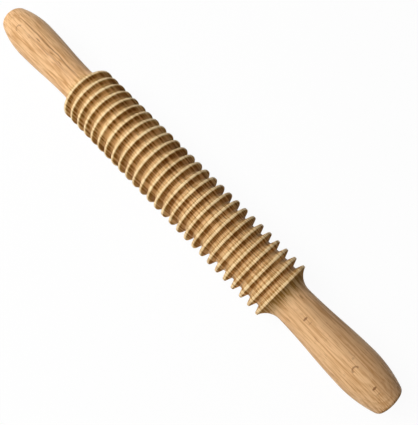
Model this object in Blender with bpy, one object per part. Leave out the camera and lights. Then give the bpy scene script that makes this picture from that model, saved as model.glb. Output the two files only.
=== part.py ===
"""Ridged rolling pin for cutting pasta strips, turned in beech.

The pin lies along X and rests on its ridges at z = 0. A barrel carries a run of
round ridges, and each end of it sweeps down in a cove to a slender neck. A swelling
handle is glued into each neck with a round tenon.
"""

from math import acos, atan2, cos, hypot, pi, sin, sqrt

import bmesh
import bpy

# Ridges and the grooves between them
RIDGE_COUNT = 27
RIDGE_PITCH = 0.0065
CREST_RADIUS = 0.0191
CREST_LAND = 0.0010
CREST_EASE_WIDTH = 0.00045
CREST_EASE_DROP = 0.00045
GROOVE_DEPTH = 0.0043
GROOVE_FLOOR = 0.0013

# Coves and necks at the two ends of the barrel
COVE_RADIUS = 0.0106
NECK_RADIUS = 0.0116
NECK_LENGTH = 0.0021

# Glued tenon joints between barrel and handles
TENON_RADIUS = 0.0065
TENON_LENGTH = 0.0280
TENON_CHAMFER = 0.0010
FIT_GAP = 0.0003
GLUE_POCKET = 0.0020

# Handles, measured from the joint outwards
HANDLE_LENGTH = 0.0677
SWELL_DISTANCE = 0.0430
SWELL_RADIUS = 0.01355
SHOULDER_ARC_RADIUS = 0.0620
END_EDGE_RADIUS = 0.0032
END_DOME_RADIUS = 0.0250

# Flats round every turned surface, and points along its curves
FACETS = 28
COVE_STEPS = 7
SHOULDER_STEPS = 5
EDGE_STEPS = 4
DOME_STEPS = 4

MERGE_DISTANCE = 0.00001
SHARP_ANGLE = pi / 6


def clear_scene():
    for obj in list(bpy.data.objects):
        bpy.data.objects.remove(obj, do_unlink=True)


def wood(name, colour, roughness):
    """Bare sanded beech in one colour."""
    material = bpy.data.materials.new(name)
    material.use_nodes = True
    shader = material.node_tree.nodes["Principled BSDF"]
    shader.inputs["Base Color"].default_value = colour
    shader.inputs["Roughness"].default_value = roughness
    shader.inputs["Metallic"].default_value = 0
    material.diffuse_color = colour
    return material


def arc(centre, radius, start, end, steps):
    """Points of an arc from angle start to angle end, both ends included."""
    points = []
    for step in range(steps + 1):
        angle = start + (end - start) * step / steps
        points.append((centre[0] + radius * cos(angle), centre[1] + radius * sin(angle)))
    return points


def turned_mesh(name, profile):
    """Turn a profile of (place along the pin, radius) points round the X axis.

    Both ends of the profile lie on the axis. The flats of the turned shape lie on the
    profile's radius, and one of them faces straight down.
    """
    corner = 1 / cos(pi / FACETS)
    half_flat = pi / FACETS
    bm = bmesh.new()
    verts = []
    for along, radius in profile:
        reach = radius * corner
        verts.append(bm.verts.new((along, reach * sin(half_flat), -reach * cos(half_flat))))
    edges = []
    for first, second in zip(verts, verts[1:]):
        edges.append(bm.edges.new((first, second)))
    bmesh.ops.spin(
        bm, geom=verts + edges, cent=(0, 0, 0), axis=(1, 0, 0),
        angle=2 * pi, steps=FACETS, use_merge=True, use_duplicate=False,
    )
    bmesh.ops.remove_doubles(bm, verts=bm.verts, dist=MERGE_DISTANCE)
    bmesh.ops.recalc_face_normals(bm, faces=bm.faces)
    mesh = bpy.data.meshes.new(name)
    bm.to_mesh(mesh)
    bm.free()
    mesh.shade_smooth()
    mesh.set_sharp_from_angle(angle=SHARP_ANGLE)
    return mesh


def place(name, mesh, material, parent, along=0, turn=0):
    """Put a turned piece on the pin's axis, turned round the upright if asked."""
    obj = bpy.data.objects.new(name, mesh)
    bpy.context.scene.collection.objects.link(obj)
    if not mesh.materials:
        mesh.materials.append(material)
    obj.parent = parent
    obj.location = (along, 0, 0)
    obj.rotation_euler = (0, 0, turn)
    return obj


def cove_angle():
    """How far round its arc the cove climbs from the neck to the end ridge."""
    climb = CREST_RADIUS - CREST_EASE_DROP - NECK_RADIUS
    return acos(1 - climb / COVE_RADIUS)


def end_ridge_centre():
    return RIDGE_PITCH * (RIDGE_COUNT - 1) / 2


def cove_end():
    """Place where the cove meets the neck, from the middle of the barrel."""
    rim = end_ridge_centre() + CREST_LAND / 2 + CREST_EASE_WIDTH
    return rim + COVE_RADIUS * sin(cove_angle())


def joint_place():
    """Place of the barrel's end face, from the middle of the barrel."""
    return cove_end() + NECK_LENGTH


def ridge_profile(centre):
    """One ridge, from the foot of its left flank to the foot of its right flank."""
    root = CREST_RADIUS - GROOVE_DEPTH
    shoulder = CREST_RADIUS - CREST_EASE_DROP
    half_land = CREST_LAND / 2
    half_foot = (RIDGE_PITCH - GROOVE_FLOOR) / 2
    return [
        (centre - half_foot, root),
        (centre - half_land - CREST_EASE_WIDTH, shoulder),
        (centre - half_land, CREST_RADIUS),
        (centre + half_land, CREST_RADIUS),
        (centre + half_land + CREST_EASE_WIDTH, shoulder),
        (centre + half_foot, root),
    ]


def barrel_end_profile():
    """Right end of the barrel: cove, neck, end face and blind socket."""
    socket_radius = TENON_RADIUS + FIT_GAP
    socket_floor = joint_place() + FIT_GAP - TENON_LENGTH - GLUE_POCKET
    centre = (cove_end(), NECK_RADIUS + COVE_RADIUS)
    bottom = -pi / 2
    points = arc(centre, COVE_RADIUS, bottom - cove_angle(), bottom, COVE_STEPS)
    points.append((joint_place(), NECK_RADIUS))
    points.append((joint_place(), socket_radius))
    points.append((socket_floor, socket_radius))
    points.append((socket_floor, 0))
    return points


def mirrored(points):
    return [(-along, radius) for along, radius in reversed(points)]


def barrel_profile():
    """The whole barrel, from the floor of one socket round to the other."""
    ridges = []
    for number in range(RIDGE_COUNT):
        ridges += ridge_profile(number * RIDGE_PITCH - end_ridge_centre())
    right_end = barrel_end_profile()
    # The outer flank of each end ridge gives way to the cove
    return mirrored(right_end) + ridges[2:-2] + right_end


def edge_centre(shoulder_centre, dome_centre):
    """Centre of the edge rounding, tangent to the shoulder arc and to the domed end."""
    from_shoulder = SHOULDER_ARC_RADIUS - END_EDGE_RADIUS
    from_dome = END_DOME_RADIUS - END_EDGE_RADIUS
    run = dome_centre[0] - shoulder_centre[0]
    rise = dome_centre[1] - shoulder_centre[1]
    apart = hypot(run, rise)
    along = (from_shoulder**2 - from_dome**2 + apart**2) / (2 * apart)
    aside = sqrt(from_shoulder**2 - along**2)
    return (
        shoulder_centre[0] + (along * run + aside * rise) / apart,
        shoulder_centre[1] + (along * rise - aside * run) / apart,
    )


def handle_profile():
    """A handle from the end of its tenon, through the swell, to its domed end."""
    points = [
        (-TENON_LENGTH, 0),
        (-TENON_LENGTH, TENON_RADIUS - TENON_CHAMFER),
        (TENON_CHAMFER - TENON_LENGTH, TENON_RADIUS),
        (0, TENON_RADIUS),
        (0, NECK_RADIUS),
    ]
    shoulder = (SWELL_DISTANCE, SWELL_RADIUS - SHOULDER_ARC_RADIUS)
    dome = (HANDLE_LENGTH - END_DOME_RADIUS, 0)
    edge = edge_centre(shoulder, dome)
    shoulder_end = atan2(edge[1] - shoulder[1], edge[0] - shoulder[0])
    dome_start = atan2(edge[1] - dome[1], edge[0] - dome[0])
    points += arc(shoulder, SHOULDER_ARC_RADIUS, pi / 2, shoulder_end, SHOULDER_STEPS)
    points += arc(edge, END_EDGE_RADIUS, shoulder_end, dome_start, EDGE_STEPS)[1:]
    points += arc(dome, END_DOME_RADIUS, dome_start, 0, DOME_STEPS)[1:-1]
    points.append((HANDLE_LENGTH, 0))
    return points


def build():
    clear_scene()
    axis = bpy.data.objects.new("pin_axis", None)
    axis.location = (0, 0, CREST_RADIUS)
    bpy.context.scene.collection.objects.link(axis)

    barrel_wood = wood("beech_barrel", (0.66, 0.42, 0.21, 1), 0.55)
    place("ridged_barrel", turned_mesh("ridged_barrel", barrel_profile()), barrel_wood, axis)

    handle_wood = wood("beech_handle", (0.62, 0.36, 0.17, 1), 0.5)
    handle = turned_mesh("handle", handle_profile())
    handle_place = joint_place() + FIT_GAP
    place("left_handle", handle, handle_wood, axis, along=-handle_place, turn=pi)
    place("right_handle", handle, handle_wood, axis, along=handle_place)


build()
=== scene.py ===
"""Ridged rolling pin for cutting pasta strips, dressed as turned beech.

The pin lies along X and rests on its ridges at z = 0. The sections follow the way it is
put together: the barrel, the two handles, and then the table, the light and the camera.
"""

from math import acos, asin, atan2, cos, hypot, pi, radians, sin, sqrt

import bpy
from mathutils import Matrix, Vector


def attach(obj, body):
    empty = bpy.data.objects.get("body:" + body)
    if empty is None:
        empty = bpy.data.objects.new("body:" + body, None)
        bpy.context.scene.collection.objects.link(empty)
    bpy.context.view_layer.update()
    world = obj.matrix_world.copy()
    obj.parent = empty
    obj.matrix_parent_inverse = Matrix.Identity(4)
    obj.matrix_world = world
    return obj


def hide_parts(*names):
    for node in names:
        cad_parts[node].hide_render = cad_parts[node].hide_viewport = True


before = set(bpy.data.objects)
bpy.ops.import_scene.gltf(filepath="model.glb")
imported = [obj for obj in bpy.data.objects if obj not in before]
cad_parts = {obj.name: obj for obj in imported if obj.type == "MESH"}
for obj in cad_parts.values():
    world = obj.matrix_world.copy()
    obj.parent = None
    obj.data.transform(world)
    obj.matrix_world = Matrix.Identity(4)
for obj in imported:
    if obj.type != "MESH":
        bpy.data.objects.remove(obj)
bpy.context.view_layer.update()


# Ridged barrel
# One length of flat-sawn beech, turned between centres. Grooves are cut side by side
# along it, and each end sweeps down in a cove to a neck that is bored for the tenon
# of a handle.

# The run of grooves
GROOVE_COUNT = 26
PITCH = 0.0065
CREST_RADIUS = 0.0191
CREST_LAND = 0.0007
CREST_ROUND = 0.0006
FLOOR_LAND = 0.0012
FLOOR_ROUND = 0.0004
GROOVE_DEPTH = 0.0043

# Coves, necks and sockets at the two ends
COVE_RADIUS = 0.0106
NECK_RADIUS = 0.0116
NECK_LENGTH = 0.0021
SOCKET_RADIUS = 0.0068
SOCKET_DEPTH = 0.0300

# Unevenness of handwork, which fades out at the ends of the run
DEPTH_SCATTER = 0.00012
HAND_WAVER = 0.00008
WAVER_SCALE = 95.0
WAVER_DETAIL = 2.0
WAVER_FADE_SHARES = (0.995, 1.04)
SEED = 7

# Points along the outline and round it
ROUND_STEPS = 4
FLANK_STEPS = 3
COVE_STEPS = 40
STEPS_ROUND = 120
SEWING_DISTANCE = 0.000003
SHARP_ANGLE = radians(50)

# Places that follow from these sizes
AXIS_HEIGHT = CREST_RADIUS
ROUNDS = CREST_ROUND + FLOOR_ROUND
FLANK_RUN = (PITCH - CREST_LAND - FLOOR_LAND) / 2
FLANK_LEAN = atan2(GROOVE_DEPTH - ROUNDS, FLANK_RUN)
FLANK_ANGLE = FLANK_LEAN + asin(ROUNDS / hypot(FLANK_RUN, GROOVE_DEPTH - ROUNDS))
RIM_START = (PITCH * GROOVE_COUNT + CREST_LAND) / 2
COVE_ANGLE = acos(1 - (CREST_RADIUS - NECK_RADIUS) / (CREST_ROUND + COVE_RADIUS))
COVE_END = RIM_START + (CREST_ROUND + COVE_RADIUS) * sin(COVE_ANGLE)
JOINT = COVE_END + NECK_LENGTH

BEECH_PALE = (0.80, 0.50, 0.26, 1)
BEECH_DARK = (0.55, 0.29, 0.115, 1)
BEECH_FLECK = (0.30, 0.125, 0.045, 1)
BEECH_STAIN = (0.26, 0.115, 0.045, 1)
# Brown of cut end grain, laid on more heavily as painted shade where faces turn away from the lamps
BEECH_CUT_AND_SHADE = (0.68, 0.57, 0.29, 1)
# Pale cream of worn crests, also laid on as painted light on the crests and at the foot of the flanks
BEECH_WORN_AND_LIT = (0.93, 0.71, 0.40, 1)
BARREL_TONE = (0.95, 1.02, 0.97, 1)
BEECH_SHEEN = 0.12
BARREL_ROUGHNESS = 0.55

# The wood's pattern is laid out in millimetres from the middle of the pin's axis
MILLIMETRES = 1000
BARK_SIDE = radians(102)
GRAIN_RISE = radians(2.1)

# Growth rings, with the share of a ring where its dark late wood begins and ends
PITH_DISTANCE = 55
RING_SPACING = 1.6
LATE_START_SHARES = (0.35, 0.90)
LATE_END_SHARES = (0.90, 1.00)
FAINTEST_RING = 0.25
LONG_WANDER_REACH = 1.8
SHORT_WANDER_REACH = 0.4

# Noise in the wood: size along, across and into the grain, detail, roughness and shift
NOISE_MIDDLE = 0.5
LONG_WANDER = ((60.0, 14.0, 14.0), 2.0, 0.5, 0.0)
SHORT_WANDER = ((18.0, 5.0, 5.0), 2.0, 0.5, 0.0)
FIBRES = ((30.0, 1.2, 1.2), 2.0, 0.6, 0.0)
FINE_FIBRES = ((12.0, 0.6, 0.6), 1.0, 0.5, 7.0)
PATCHES = ((26.0, 8.0, 8.0), 2.0, 0.5, 19.0)
STAIN_WAVER = ((9.0, 9.0, 9.0), 2.0, 0.5, 40.0)

# Short dashes in the wood: size of their cells, thickness, and share of the cells with one
RAYS = ((3.0, 0.6, 12.0), 0.36, 0.40)
FLECKS = ((9.0, 1.6, 16.0), 0.24, 0.35)
DASH_CORE_SHARE = 0.5
CHOICE_SOFTNESS = 0.15

# Straight streaks that keep their place across the grain from ridge to ridge
STREAK_LENGTH = 20
STREAK_DETAIL = 2.0
STREAK_ROUGHNESS = 0.65
STREAK_EDGE = (0.36, 0.64)

# How much each pattern darkens the wood
PLAIN_SHADE = 0.30
RING_SHADE = 0.45
FIBRE_SHADE = 1.6
PATCH_SHADE = 1.0
FINE_SHADE = 0.8
STREAK_SHADE = 0.9
BARREL_STREAK_SHADE = 1.2
RAY_SHADE = 0.30
FLECK_SHADE = 0.40
STAIN_SHADE = 0.5
STAIN_FIBRE_SHADE = 0.6

# Stains on the surface, some of which run on over the joints with the handles: place along
# the pin, angle round it, length, width, slant and strength. Angles are in degrees, and the
# slant is in degrees for each millimetre.
LONG_STAINS = (
    (-120.5, 104.1, 52.0, 0.8, 0.0, 0.55),
    (-120.0, 86.6, 74.0, 1.0, -0.03, 0.85),
    (118.0, 73.6, 50.0, 1.6, 0.02, 0.45),
    (136.0, 68.0, 90.0, 17.0, 0.0, 0.35),
)
SHORT_STAINS = (
    (-130.0, 96.6, 5.0, 0.9, 0.0, 0.9),
    (-117.0, 96.6, 4.0, 0.8, 0.0, 0.8),
    (-108.0, 98.6, 5.0, 0.8, 0.0, 0.7),
    (-130.0, 130.6, 7.0, 0.8, 0.0, 0.5),
    (104.4, 107.6, 1.4, 3.2, 0.0, 1.1),
    (107.7, 107.6, 1.0, 3.0, 0.0, 0.4),
    (151.7, 105.6, 1.4, 3.3, 0.0, 1.1),
    (155.0, 105.6, 1.0, 3.0, 0.0, 0.4),
    (132.0, 89.6, 4.5, 0.9, 0.0, 0.6),
    (134.5, 93.0, 1.6, 1.6, 0.0, 0.6),
    (95.0, 74.6, 3.5, 1.2, 0.0, 0.7),
)
BOWED_STAINS = (
    (-146.6, 111.6, 3.2, 3.7, 0.0, 0.6),
    (139.0, 107.0, 2.6, 3.4, 0.0, 0.9),
)
STAIN_WANDER = 2.0
STAIN_EDGE = (0.55, 1.1)
BOW_EDGE = (0.1, 0.5)
BOW_OPENING = (0.0, 0.6)

# Dark layers that run on through the ridges: place along the pin, place across the grain,
# length, width, rise across the grain in each millimetre, and strength
DARK_LAYERS = (
    (0.0, 5.1, 178.0, 0.8, 0.030, 1.0),
    (25.0, 2.6, 118.0, 0.7, 0.0195, 0.9),
    (-64.0, 10.6, 44.0, 0.7, 0.010, 0.9),
    (20.0, -5.5, 90.0, 0.5, 0.010, 0.5),
)
LAYER_WANDER = 1.2
LAYER_EDGE = (0.5, 1.2)

# Crests are pale from wear and from painted light, less so toward the right end, where the painted light
# falls off, and in the dark streaks
WORN_DEPTH = 0.0011
WORN_THROUGH_SHARE = 0.4
WORN_SHADE = 0.95
WORN_BESIDE_STREAKS = 1.3
WORN_LESS_IN_STREAKS = 0.9
FADING_PLACES = (-40.0, 90.0)
FADING_SHARE = 0.45

# Faces across the grain show their cut ends in brown, with painted shade on top: full where they
# face right, away from the lamps, and weaker where they face left. In a groove the brown thins
# toward the floor as painted light.
CUT_FACING = (0.30, 0.95)
LEFT_FACING_SHARE = 0.5
CUT_STREAK_SHADE = 1.4
# Painted light: in a groove the brown thins toward the floor, where more light falls
FLOOR_LIGHT_DEPTH_SHARES = (0.20, 0.75)
FLOOR_LIGHT_SHARE = 0.7
FLANK_STREAK_SHADE = 0.5

# Painted light: the foot of the flanks is paler still toward the left end, and the floor a little
FOOT_DEPTH_SHARES = (0.55, 0.85)
FOOT_PLACES = (-80.0, 10.0)
FOOT_LIGHT_STRENGTH = 0.9
FOOT_ON_FLOOR_SHARE = 0.2

# Roughness and height of the grain
FIBRE_ROUGHNESS = 0.2
CUT_ROUGHNESS = 0.35
FIBRE_HEIGHT = 0.5
FINE_HEIGHT = 0.5
RAY_HEIGHT = 0.3
RING_HEIGHT = 0.3
STAIN_HEIGHT = 0.3
BUMP_STRENGTH = 0.3
BUMP_DISTANCE = 0.0002

# The kind of input that takes each kind of value
SOCKET_KINDS = {
    int: "NodeSocketInt",
    float: "NodeSocketFloat",
    tuple: "NodeSocketRotation",
    bpy.types.Material: "NodeSocketMaterial",
}


class Wire:
    """A socket of a node tree or, with no socket given, the tree itself.

    Sums and products of wires and numbers add Math nodes. Any other node comes from
    node(), which sets its settings first and then its sockets.
    """

    def __init__(self, tree, socket=None):
        self.tree = tree
        self.socket = socket

    def node(self, kind, settings=None, inputs=None, output=0):
        node = self.tree.nodes.new(kind)
        for name, value in (settings or {}).items():
            setattr(node, name, value)
        for name, value in (inputs or {}).items():
            wires = value if isinstance(value, list) else [value]
            for wire in wires:
                if isinstance(wire, Wire):
                    wire.feed(node, name)
                else:
                    self.find(node.inputs, name).default_value = wire
        if output is None:
            return None
        return Wire(self.tree, self.find(node.outputs, output))

    def feed(self, node, name):
        """Lead this wire to an input of a node."""
        self.tree.links.new(self.socket, self.find(node.inputs, name))

    def other(self, output):
        """Another output of the node that this wire comes from."""
        return Wire(self.tree, self.find(self.socket.node.outputs, output))

    @staticmethod
    def find(sockets, name):
        for socket in sockets:
            if socket.identifier == name:
                return socket
        return sockets[name]

    def math(self, operation, *others):
        return self.node("ShaderNodeMath", {"operation": operation}, dict(enumerate((self, *others))))

    def __add__(self, other):
        return self.math("ADD", other)

    def __sub__(self, other):
        return self.math("SUBTRACT", other)

    def __rsub__(self, other):
        return self.math("MULTIPLY_ADD", -1.0, other)

    def __mul__(self, other):
        return self.math("MULTIPLY", other)

    def __truediv__(self, other):
        return self.math("DIVIDE", other)

    __radd__ = __add__
    __rmul__ = __mul__

    def clamped(self):
        return self.node("ShaderNodeClamp", None, {"Value": self})

    def step(self, low, high):
        """Smooth step from 0 at low to 1 at high."""
        return self.node(
            "ShaderNodeMapRange", {"interpolation_type": "SMOOTHSTEP"},
            {"Value": self, "From Min": low, "From Max": high},
        )

    def parts(self):
        """The three numbers of a vector."""
        first = self.node("ShaderNodeSeparateXYZ", None, {"Vector": self})
        return first, first.other("Y"), first.other("Z")


def new_tree(name, sizes):
    """A Geometry Nodes tree with its geometry, then one named input for each given size."""
    group = bpy.data.node_groups.new(name, "GeometryNodeTree")
    group.interface.new_socket("Geometry", in_out="OUTPUT", socket_type="NodeSocketGeometry")
    group.interface.new_socket("Geometry", in_out="INPUT", socket_type="NodeSocketGeometry")
    for label, value in sizes.items():
        group.interface.new_socket(label, in_out="INPUT", socket_type=SOCKET_KINDS[type(value)])
    return Wire(group).node("NodeGroupInput", None, None, "Geometry")


def sewn(geometry):
    """Geometry whose points are joined where they meet."""
    return geometry.node(
        "GeometryNodeMergeByDistance", None, {"Geometry": geometry, "Distance": SEWING_DISTANCE},
    )


def turned(outline, steps):
    """Surface that turns an outline of points at (along, 0, radius) round the X axis."""
    count = outline.node("GeometryNodeAttributeDomainSize", None, {"Geometry": outline}, "Point Count")
    rows = steps + 1
    sheet = outline.node("GeometryNodeMeshGrid", None, {"Vertices X": count, "Vertices Y": rows})
    index = outline.node("GeometryNodeInputIndex")
    # Half a point more keeps the column's number clear of rounding
    column = ((index + 0.5) / rows).math("FLOOR")
    angle = (index - column * rows) * (2 * pi) / steps
    point = outline.node(
        "GeometryNodeSampleIndex", {"data_type": "FLOAT_VECTOR"},
        {"Geometry": outline, "Value": outline.node("GeometryNodeInputPosition"), "Index": column},
    )
    along, _, radius = point.parts()
    rolled = outline.node(
        "ShaderNodeCombineXYZ", None,
        {"X": along, "Y": radius * angle.math("SINE"), "Z": radius * angle.math("COSINE")},
    )
    return sewn(outline.node("GeometryNodeSetPosition", None, {"Geometry": sheet, "Position": rolled}))


def close_tree(geometry, material):
    """End a tree with smooth shading, real geometry and its material."""
    smooth = geometry.node("GeometryNodeSetShadeSmooth", None, {"Geometry": geometry})
    real = geometry.node("GeometryNodeRealizeInstances", None, {"Geometry": smooth})
    dressed = geometry.node("GeometryNodeSetMaterial", None, {"Geometry": real, "Material": material})
    geometry.node("NodeGroupOutput", None, {"Geometry": dressed}, None)


def outline_object(name, outline):
    """Object whose mesh is an open line through points given as (along, radius)."""
    mesh = bpy.data.meshes.new(name)
    places = [(along, 0, radius) for along, radius in outline]
    mesh.from_pydata(places, [(number, number + 1) for number in range(len(places) - 1)], [])
    obj = bpy.data.objects.new(name, mesh)
    bpy.context.scene.collection.objects.link(obj)
    return obj


def run_tree(obj, tree, sizes):
    """Run a tree on an object with its named inputs, and keep the result as a plain mesh."""
    modifier = obj.modifiers.new("turning", "NODES")
    modifier.node_group = tree
    for item in tree.interface.items_tree:
        if item.in_out == "INPUT" and item.name in sizes:
            modifier[item.identifier] = sizes[item.name]
    evaluated = obj.evaluated_get(bpy.context.evaluated_depsgraph_get())
    mesh = bpy.data.meshes.new_from_object(evaluated)
    obj.modifiers.clear()
    obj.data = mesh
    mesh.set_sharp_from_angle(angle=SHARP_ANGLE)
    for vertex in mesh.vertices:
        vertex.co.z += AXIS_HEIGHT


def groove_surface(given):
    """One turned groove, from crest to crest: flat lands, straight flanks, eased corners."""
    pitch = given.other("Pitch")
    depth = given.other("Groove depth")
    angle = given.other("Flank angle")
    corner = given.other("Steps per corner")
    flank = given.other("Steps per flank")
    half = corner * 2 + flank + 2
    line = given.node("GeometryNodeMeshLine", None, {"Count": half * 2 + 1})
    index = given.node("GeometryNodeInputIndex")
    from_floor = (index - half).math("ABSOLUTE")
    side = (index - half).math("SIGN")
    from_crest = half - from_floor

    def eased(number, land, radius):
        """A point on a land and its eased corner, from the middle of the land."""
        turn = angle * ((number - 1) / corner).clamped()
        run = land / 2 * number.math("MINIMUM", 1) + radius * turn.math("SINE")
        return run, radius * (1 - turn.math("COSINE"))

    top_run, top_drop = eased(from_crest, given.other("Crest land"), given.other("Crest round"))
    floor_run, floor_rise = eased(from_floor, given.other("Floor land"), given.other("Floor round"))
    share = ((from_crest - corner - 1) / flank).clamped()
    run = top_run + share * (pitch / 2 - floor_run - top_run)
    drop = top_drop + share * (depth - floor_rise - top_drop)
    place = given.node(
        "ShaderNodeCombineXYZ", None,
        {"X": pitch / 2 + side * (pitch / 2 - run), "Z": given.other("Crest radius") - drop},
    )
    outline = given.node("GeometryNodeSetPosition", None, {"Geometry": line, "Position": place})
    return turned(outline, given.other("Steps round"))


def hand_waver(given, geometry):
    """Give each groove its own depth, and let the turned surface waver a little inwards."""
    place = given.node("GeometryNodeInputPosition")
    along, across, up = place.parts()
    radius = (across * across + up * up).math("SQRT")
    pitch = given.other("Pitch")
    number = (along / pitch + given.other("Grooves") / 2).math("FLOOR")
    chance = given.node(
        "FunctionNodeRandomValue", {"data_type": "FLOAT"},
        {"Min_001": -1.0, "Max_001": 1.0, "ID": number, "Seed": given.other("Seed")}, "Value_001",
    )
    in_groove = (given.other("Crest radius") - radius) / given.other("Groove depth")
    waver = given.node(
        "ShaderNodeTexNoise", {"noise_dimensions": "4D"},
        {
            "Vector": place, "W": given.other("Seed"),
            "Scale": given.other("Waver scale"), "Detail": WAVER_DETAIL,
        },
    )
    past_middle = along.math("ABSOLUTE") / (pitch * given.other("Grooves") / 2)
    on_run = 1 - past_middle.step(*WAVER_FADE_SHARES)
    change = in_groove * chance * given.other("Depth scatter") - waver * given.other("Hand waver")
    scale = 1 + change * on_run / radius
    moved = given.node("ShaderNodeCombineXYZ", None, {"X": along, "Y": across * scale, "Z": up * scale})
    return given.node("GeometryNodeSetPosition", None, {"Geometry": geometry, "Position": moved})


def barrel_tree(sizes):
    """The run of grooves with both turned ends, from the outline of one end."""
    given = new_tree("barrel_turning", sizes)
    pitch = given.other("Pitch")
    count = given.other("Grooves")
    start = given.node("ShaderNodeCombineXYZ", None, {"X": pitch * count / -2})
    step = given.node("ShaderNodeCombineXYZ", None, {"X": pitch})
    places = given.node(
        "GeometryNodeMeshLine", None, {"Count": count, "Start Location": start, "Offset": step},
    )
    grooves = given.node(
        "GeometryNodeInstanceOnPoints", None, {"Points": places, "Instance": groove_surface(given)},
    )
    run = given.node("GeometryNodeRealizeInstances", None, {"Geometry": grooves})
    right = turned(given, given.other("Steps round"))
    left = given.node("GeometryNodeTransform", None, {"Geometry": right, "Rotation": (0, 0, pi)})
    whole = sewn(given.node("GeometryNodeJoinGeometry", None, {"Geometry": [run, right, left]}))
    close_tree(hand_waver(given, whole), given.other("Wood"))
    return given.tree


def arc(centre, radius, start, end, steps):
    """Points of an arc from angle start to angle end, without its first point."""
    points = []
    for step in range(1, steps + 1):
        angle = start + (end - start) * step / steps
        points.append((centre[0] + radius * cos(angle), centre[1] + radius * sin(angle)))
    return points


def barrel_end_outline():
    """From the last crest down the cove and the neck, and into the socket to the axis."""
    points = [(RIM_START - CREST_LAND / 2, CREST_RADIUS), (RIM_START, CREST_RADIUS)]
    rim = (RIM_START, CREST_RADIUS - CREST_ROUND)
    points += arc(rim, CREST_ROUND, pi / 2, pi / 2 - COVE_ANGLE, ROUND_STEPS)
    cove = (COVE_END, NECK_RADIUS + COVE_RADIUS)
    points += arc(cove, COVE_RADIUS, -pi / 2 - COVE_ANGLE, -pi / 2, COVE_STEPS)
    socket_floor = JOINT - SOCKET_DEPTH
    points += [(JOINT, NECK_RADIUS), (JOINT, SOCKET_RADIUS)]
    points += [(socket_floor, SOCKET_RADIUS), (socket_floor, 0)]
    return points


def noise(grain, size, detail, roughness, shift):
    """Noise whose features have about the given size along, across and into the grain."""
    scale = tuple(1 / length for length in size)
    moved = grain.node(
        "ShaderNodeMapping", None,
        {"Vector": grain, "Scale": scale, "Location": (shift, shift, 0)},
    )
    return grain.node(
        "ShaderNodeTexNoise", None,
        {"Vector": moved, "Scale": 1.0, "Detail": detail, "Roughness": roughness},
    )


def dashes(grain, size, thickness, share):
    """Short dashes, one in each chosen cell of the given size."""
    scale = tuple(1 / length for length in size)
    cells = grain.node("ShaderNodeMapping", None, {"Vector": grain, "Scale": scale})
    spots = grain.node("ShaderNodeTexVoronoi", None, {"Vector": cells, "Scale": 1.0})
    chance, _, _ = spots.other("Color").parts()
    chosen = chance.step(1 - share, 1 - share + CHOICE_SOFTNESS)
    return (1 - spots.step(thickness * DASH_CORE_SHARE, thickness)) * chosen


def late_wood(grain):
    """The dark outer part of each growth ring, fainter in some rings than in others."""
    _, across, depth = grain.parts()
    pith = depth + PITH_DISTANCE
    wander = noise(grain, *LONG_WANDER) * LONG_WANDER_REACH
    wander = wander + noise(grain, *SHORT_WANDER) * SHORT_WANDER_REACH
    count = ((pith * pith + across * across).math("SQRT") + wander) / RING_SPACING
    ring = count.math("FRACT")
    chance = grain.node("ShaderNodeTexWhiteNoise", {"noise_dimensions": "1D"}, {"W": count.math("FLOOR")})
    strength = FAINTEST_RING + chance * (1 - FAINTEST_RING)
    return ring.step(*LATE_START_SHARES) * (1 - ring.step(*LATE_END_SHARES)) * strength


def streaks(place, across):
    """Straight dark streaks along the pin."""
    flat = place.node("ShaderNodeCombineXYZ", None, {"X": place / STREAK_LENGTH, "Y": across})
    pattern = place.node(
        "ShaderNodeTexNoise", {"noise_dimensions": "2D"},
        {"Vector": flat, "Scale": 1.0, "Detail": STREAK_DETAIL, "Roughness": STREAK_ROUGHNESS},
    )
    return pattern.step(*STREAK_EDGE)


def stains(place, around, radius, across, waver):
    """All stains at their places: dashes and bows on the surface, and layers through it."""

    def stain(middle, angle, length, width, slant, strength, bowed=False):
        """One stain as a soft dash, or as a bow that is open to the right."""
        run = (place - middle) / (length / 2)
        turn = (around - radians(angle) - (place - middle) * radians(slant)) * radius
        rise = (turn + waver * STAIN_WANDER) / (width / 2)
        reach = (run * run + rise * rise).math("SQRT")
        if bowed:
            bow = 1 - (reach - 1).math("ABSOLUTE").step(*BOW_EDGE)
            return bow * (1 - run.step(*BOW_OPENING)) * strength
        return (1 - reach.step(*STAIN_EDGE)) * strength

    marks = [stain(*row) for row in LONG_STAINS + SHORT_STAINS]
    marks += [stain(*row, bowed=True) for row in BOWED_STAINS]
    for middle, level, length, width, rise, strength in DARK_LAYERS:
        run = (place - middle) / (length / 2)
        offset = (across - level - (place - middle) * rise + waver * LAYER_WANDER) / (width / 2)
        reach = (run * run + offset * offset).math("SQRT")
        marks.append((1 - reach.step(*LAYER_EDGE)) * strength)
    darkest = marks[0]
    for mark in marks[1:]:
        darkest = darkest.math("MAXIMUM", mark)
    return darkest


def mix(share, first, second, blend="MIX"):
    """The first colour with the given share of the second one in it."""
    wire = share if isinstance(share, Wire) else first
    return wire.node(
        "ShaderNodeMix", {"data_type": "RGBA", "blend_type": blend},
        {"Factor_Float": share, "A_Color": first, "B_Color": second}, "Result_Color",
    )


def grain_colour(grain, on_barrel, late, fibres, fine, lines, rays, stained):
    """Colour that the wood has from its own grain, flecks and stains."""
    shade = PLAIN_SHADE + late * RING_SHADE + (fibres - NOISE_MIDDLE) * FIBRE_SHADE
    shade = shade + (noise(grain, *PATCHES) - NOISE_MIDDLE) * PATCH_SHADE
    shade = shade + (fine - NOISE_MIDDLE) * FINE_SHADE
    shade = shade + (lines - NOISE_MIDDLE) * (STREAK_SHADE + on_barrel * BARREL_STREAK_SHADE)
    wood = mix(shade.clamped(), BEECH_PALE, BEECH_DARK)
    wood = mix(rays * RAY_SHADE + dashes(grain, *FLECKS) * FLECK_SHADE, wood, BEECH_FLECK)
    wood = mix(stained * (STAIN_SHADE + fibres * STAIN_FIBRE_SHADE), wood, BEECH_STAIN)
    return mix(on_barrel, wood, mix(1.0, wood, BARREL_TONE, "MULTIPLY"))


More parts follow.
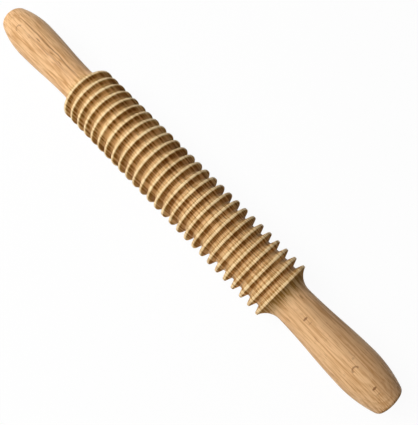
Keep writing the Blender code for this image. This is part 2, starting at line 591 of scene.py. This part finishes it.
def worked_colour(wood, place, radius, cut_and_shade, lines):
    """The wood's colour with its worn crests and the cut ends of its grain, and with painted light and
    shade on the ridges.
    """
    rim = MILLIMETRES * RIM_START
    on_run = 1 - place.math("ABSOLUTE").step(rim, rim + MILLIMETRES * CREST_ROUND)
    sunk = (MILLIMETRES * CREST_RADIUS - radius) / (MILLIMETRES * GROOVE_DEPTH)
    fading = 1 - place.step(*FADING_PLACES) * FADING_SHARE

    # Pale crests: wear, with painted light on them that falls off toward the right end
    worn_start = MILLIMETRES * (CREST_RADIUS - WORN_DEPTH)
    worn_through = MILLIMETRES * (CREST_RADIUS - CREST_ROUND * WORN_THROUGH_SHARE)
    worn_and_lit = radius.step(worn_start, worn_through) * fading * WORN_SHADE
    wood = mix(worn_and_lit * (WORN_BESIDE_STREAKS - lines * WORN_LESS_IN_STREAKS), wood, BEECH_WORN_AND_LIT)

    # Painted light at the foot of the flanks and on the groove floor, fading out toward the right
    lit_foot = on_run * sunk.step(*FOOT_DEPTH_SHARES) * (FOOT_ON_FLOOR_SHARE + cut_and_shade * (1 - FOOT_ON_FLOOR_SHARE))
    lit_foot = lit_foot * (1 - place.step(*FOOT_PLACES))
    wood = mix(lit_foot * FOOT_LIGHT_STRENGTH, wood, BEECH_WORN_AND_LIT)
    streaked = on_run * cut_and_shade * lines * (1 - lit_foot) * fading * FLANK_STREAK_SHADE
    wood = mix(streaked, wood, BEECH_STAIN)

    # Cut-end brown with painted shade: full on right-facing faces, half on left-facing ones. Painted light
    # thins it toward the groove floor
    cut_brown_and_shade = cut_and_shade * (1 - on_run * sunk.step(*FLOOR_LIGHT_DEPTH_SHARES) * FLOOR_LIGHT_SHARE)
    cut_brown_and_shade = cut_brown_and_shade * (1 + (lines - NOISE_MIDDLE) * CUT_STREAK_SHADE)
    return mix(cut_brown_and_shade.clamped(), wood, mix(1.0, wood, BEECH_CUT_AND_SHADE, "MULTIPLY"))


def beech(name, roughness):
    """Bare turned beech, with its grain running along the pin."""
    material = bpy.data.materials.new(name)
    material.use_nodes = True
    tree = Wire(material.node_tree)
    shader = material.node_tree.nodes["Principled BSDF"]
    shader.inputs["Specular IOR Level"].default_value = BEECH_SHEEN

    centred = tree.node(
        "ShaderNodeMapping", None,
        {
            "Vector": tree.node("ShaderNodeTexCoord", None, None, "Object"),
            "Location": (0, 0, -MILLIMETRES * AXIS_HEIGHT),
            "Scale": (MILLIMETRES, MILLIMETRES, MILLIMETRES),
        },
    )
    grain = tree.node(
        "ShaderNodeMapping", None,
        {"Vector": centred, "Rotation": (pi / 2 - BARK_SIDE, GRAIN_RISE, 0)},
    )
    place, side, up = centred.parts()
    radius = (side * side + up * up).math("SQRT")
    around = up.math("ARCTAN2", side)
    _, across, _ = grain.parts()
    on_barrel = 1 - place.math("ABSOLUTE").step(MILLIMETRES * RIM_START, MILLIMETRES * COVE_END)
    facing, _, _ = tree.node("ShaderNodeTexCoord", None, None, "Normal").parts()
    # Cut end grain with painted shade: faces toward the right take the full brown, faces toward the left
    # only a share
    cut_and_shade = facing.step(*CUT_FACING) + (facing * -1).step(*CUT_FACING) * LEFT_FACING_SHARE

    late = late_wood(grain)
    fibres = noise(grain, *FIBRES)
    fine = noise(grain, *FINE_FIBRES)
    rays = dashes(grain, *RAYS)
    lines = streaks(place, across)
    stained = stains(place, around, radius, across, noise(grain, *STAIN_WAVER) - NOISE_MIDDLE)

    wood = grain_colour(grain, on_barrel, late, fibres, fine, lines, rays, stained)
    worked_colour(wood, place, radius, cut_and_shade, lines).feed(shader, "Base Color")
    rough = roughness + (fibres - NOISE_MIDDLE) * FIBRE_ROUGHNESS + cut_and_shade * CUT_ROUGHNESS
    rough.feed(shader, "Roughness")
    height = fibres * FIBRE_HEIGHT + fine * FINE_HEIGHT
    height = height - rays * RAY_HEIGHT - late * RING_HEIGHT - stained * STAIN_HEIGHT
    bump = tree.node(
        "ShaderNodeBump", None,
        {"Strength": BUMP_STRENGTH, "Distance": BUMP_DISTANCE, "Height": height},
    )
    bump.feed(shader, "Normal")
    return material


barrel_sizes = {
    "Grooves": GROOVE_COUNT,
    "Pitch": PITCH,
    "Crest radius": CREST_RADIUS,
    "Crest land": CREST_LAND,
    "Crest round": CREST_ROUND,
    "Floor land": FLOOR_LAND,
    "Floor round": FLOOR_ROUND,
    "Groove depth": GROOVE_DEPTH,
    "Flank angle": FLANK_ANGLE,
    "Steps per corner": ROUND_STEPS,
    "Steps per flank": FLANK_STEPS,
    "Steps round": STEPS_ROUND,
    "Depth scatter": DEPTH_SCATTER,
    "Hand waver": HAND_WAVER,
    "Waver scale": WAVER_SCALE,
    "Seed": SEED,
    "Wood": beech("barrel_beech", BARREL_ROUGHNESS),
}
barrel = outline_object("turned_barrel", barrel_end_outline())
run_tree(barrel, barrel_tree(barrel_sizes), barrel_sizes)
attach(barrel, "root")
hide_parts("ridged_barrel")


# Handles
# Two swelling grips turned from the same beech and sanded smooth. Each has a round tenon
# that is glued into the neck of the barrel, so that the joint hardly shows.

TENON_RADIUS = 0.0065
TENON_LENGTH = 0.0280
TENON_CHAMFER = 0.0010
GRIP_LENGTH = 0.0680
SWELL_DISTANCE = 0.0433
SWELL_RADIUS = 0.01355
SHOULDER_ARC_RADIUS = 0.0620
END_EDGE_RADIUS = 0.0032
END_DOME_RADIUS = 0.0250
TAPER_EASE = 0.5
TAPER_STEPS = 40
SHOULDER_STEPS = 24
EDGE_STEPS = 12
DOME_STEPS = 14

HANDLE_ROUGHNESS = 0.48

# Each handle's piece, the solid it stands for and its turn from the right side
HANDLES = (
    ("left_grip", "left_handle", pi),
    ("right_grip", "right_handle", 0.0),
)


def handle_outline():
    """From the end of the tenon, over the shoulder and the swell, to the domed end."""
    points = [
        (JOINT - TENON_LENGTH, 0),
        (JOINT - TENON_LENGTH, TENON_RADIUS - TENON_CHAMFER),
        (JOINT - TENON_LENGTH + TENON_CHAMFER, TENON_RADIUS),
        (JOINT, TENON_RADIUS),
    ]
    for step in range(TAPER_STEPS + 1):
        share = step / TAPER_STEPS
        rise = share - TAPER_EASE * sin(2 * pi * share) / (2 * pi)
        points.append((JOINT + SWELL_DISTANCE * share, NECK_RADIUS + (SWELL_RADIUS - NECK_RADIUS) * rise))
    shoulder = (JOINT + SWELL_DISTANCE, SWELL_RADIUS - SHOULDER_ARC_RADIUS)
    dome = (JOINT + GRIP_LENGTH - END_DOME_RADIUS, 0)
    from_shoulder = SHOULDER_ARC_RADIUS - END_EDGE_RADIUS
    from_dome = END_DOME_RADIUS - END_EDGE_RADIUS
    run = dome[0] - shoulder[0]
    rise = dome[1] - shoulder[1]
    apart = hypot(run, rise)
    ahead = (from_shoulder**2 - from_dome**2 + apart**2) / (2 * apart)
    aside = sqrt(from_shoulder**2 - ahead**2)
    edge = (
        shoulder[0] + (ahead * run + aside * rise) / apart,
        shoulder[1] + (ahead * rise - aside * run) / apart,
    )
    leave_shoulder = atan2(edge[1] - shoulder[1], edge[0] - shoulder[0])
    meet_dome = atan2(edge[1] - dome[1], edge[0] - dome[0])
    points += arc(shoulder, SHOULDER_ARC_RADIUS, pi / 2, leave_shoulder, SHOULDER_STEPS)
    points += arc(edge, END_EDGE_RADIUS, leave_shoulder, meet_dome, EDGE_STEPS)
    points += arc(dome, END_DOME_RADIUS, meet_dome, 0, DOME_STEPS)
    return points


def handle_tree(sizes):
    """A turned handle, on the right as drawn or swung round to the left."""
    given = new_tree("handle_turning", sizes)
    solid = turned(given, given.other("Steps round"))
    placed = given.node("GeometryNodeTransform", None, {"Geometry": solid, "Rotation": given.other("Turn")})
    close_tree(placed, given.other("Wood"))
    return given.tree


handle_sizes = {
    "Steps round": STEPS_ROUND,
    "Turn": (0, 0, 0),
    "Wood": beech("handle_beech", HANDLE_ROUGHNESS),
}
handle_turning = handle_tree(handle_sizes)
for piece, node, turn in HANDLES:
    grip = outline_object(piece, handle_outline())
    run_tree(grip, handle_turning, {**handle_sizes, "Turn": (0, 0, turn)})
    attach(grip, "root")
    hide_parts(node)


# Table
# A plain white sheet under the pin. The camera sees it as white, and it keeps a faint
# part of the pin's shadow.

TABLE_SIZE = 6
TABLE_WHITE = (0.86, 0.86, 0.86, 1)
TABLE_ROUGHNESS = 0.9
TABLE_SHEEN = 0.1
TABLE_GLOW = 0.95

table_mesh = bpy.data.meshes.new("white_table")
half = TABLE_SIZE / 2
table_mesh.from_pydata(
    [(-half, -half, 0), (half, -half, 0), (half, half, 0), (-half, half, 0)], [], [(0, 1, 2, 3)],
)
table = bpy.data.objects.new("white_table", table_mesh)
bpy.context.scene.collection.objects.link(table)
table_material = bpy.data.materials.new("white_sheet")
table_material.use_nodes = True
sheet = Wire(table_material.node_tree)
paper = table_material.node_tree.nodes["Principled BSDF"]
paper.inputs["Base Color"].default_value = TABLE_WHITE
paper.inputs["Roughness"].default_value = TABLE_ROUGHNESS
paper.inputs["Specular IOR Level"].default_value = TABLE_SHEEN
camera_ray = sheet.node("ShaderNodeLightPath", None, None, "Is Camera Ray")
white_rays = (camera_ray + camera_ray.other("Is Glossy Ray")).math("MINIMUM", 1)
glow = sheet.node("ShaderNodeEmission", None, {"Color": (1, 1, 1, 1), "Strength": 1.0})
surface = sheet.node(
    "ShaderNodeMixShader", None,
    {"Fac": white_rays * TABLE_GLOW, 1: Wire(sheet.tree, paper.outputs["BSDF"]), 2: glow},
)
surface.feed(table_material.node_tree.nodes["Material Output"], "Surface")
table_mesh.materials.append(table_material)


# Light
# One strong round panel high beyond the left end, on the camera's side of the pin, with two
# weak ones lower down beside it. The room itself stays dim.

# Each panel's name, direction and height in degrees, and power
PANELS = (
    ("key_panel", 225, 58, 9.2),
    ("side_panel", 270, 42, 1.6),
    ("far_panel", 180, 28, 1.0),
)
PANEL_DISTANCE = 1.0
PANEL_SIZE = 0.60
ROOM_LEVEL = 0.06

world = bpy.data.worlds.new("pale_room")
bpy.context.scene.world = world
world.use_nodes = True
room = Wire(world.node_tree)
seen = room.node("ShaderNodeLightPath", None, None, "Is Camera Ray")
direct = (seen + seen.other("Is Glossy Ray") + seen.other("Is Transmission Ray")).math("MINIMUM", 1)
background = world.node_tree.nodes["Background"]
background.inputs["Color"].default_value = (1, 1, 1, 1)
room_strength = ROOM_LEVEL + direct * (1 - ROOM_LEVEL)
room_strength.feed(background, "Strength")

for name, turn, rise, power in PANELS:
    lamp_data = bpy.data.lights.new(name, "AREA")
    lamp_data.shape = "DISK"
    lamp_data.size = PANEL_SIZE
    lamp_data.energy = power
    lamp = bpy.data.objects.new(name, lamp_data)
    bpy.context.scene.collection.objects.link(lamp)
    level = cos(radians(rise))
    toward_lamp = Vector((level * cos(radians(turn)), level * sin(radians(turn)), sin(radians(rise))))
    lamp.location = Vector((0, 0, AXIS_HEIGHT)) + toward_lamp * PANEL_DISTANCE
    lamp.rotation_euler = toward_lamp.to_track_quat("Z", "Y").to_euler()


# Camera
# It looks down on the pin from above its right half, at the photograph's angle. The small
# shift only frames the pin as the photograph does.

CAMERA_PLACE = (0.08838, -0.06728, 0.32568)
CAMERA_AIM = (0.00593, 0.00975, AXIS_HEIGHT)
CAMERA_LENS = 46.11
CAMERA_SHIFT = (0.0282, -0.0706)
CAMERA_NEAREST = 0.01

camera_data = bpy.data.cameras.new("photo_camera")
camera_data.lens = CAMERA_LENS
camera_data.shift_x = CAMERA_SHIFT[0]
camera_data.shift_y = CAMERA_SHIFT[1]
camera_data.clip_start = CAMERA_NEAREST
camera = bpy.data.objects.new("photo_camera", camera_data)
bpy.context.scene.collection.objects.link(camera)
camera.location = CAMERA_PLACE
line_of_sight = Vector(CAMERA_AIM) - Vector(CAMERA_PLACE)
camera.rotation_euler = line_of_sight.to_track_quat("-Z", "Y").to_euler()
bpy.context.scene.camera = camera
bpy.context.scene.view_settings.view_transform = "Standard"
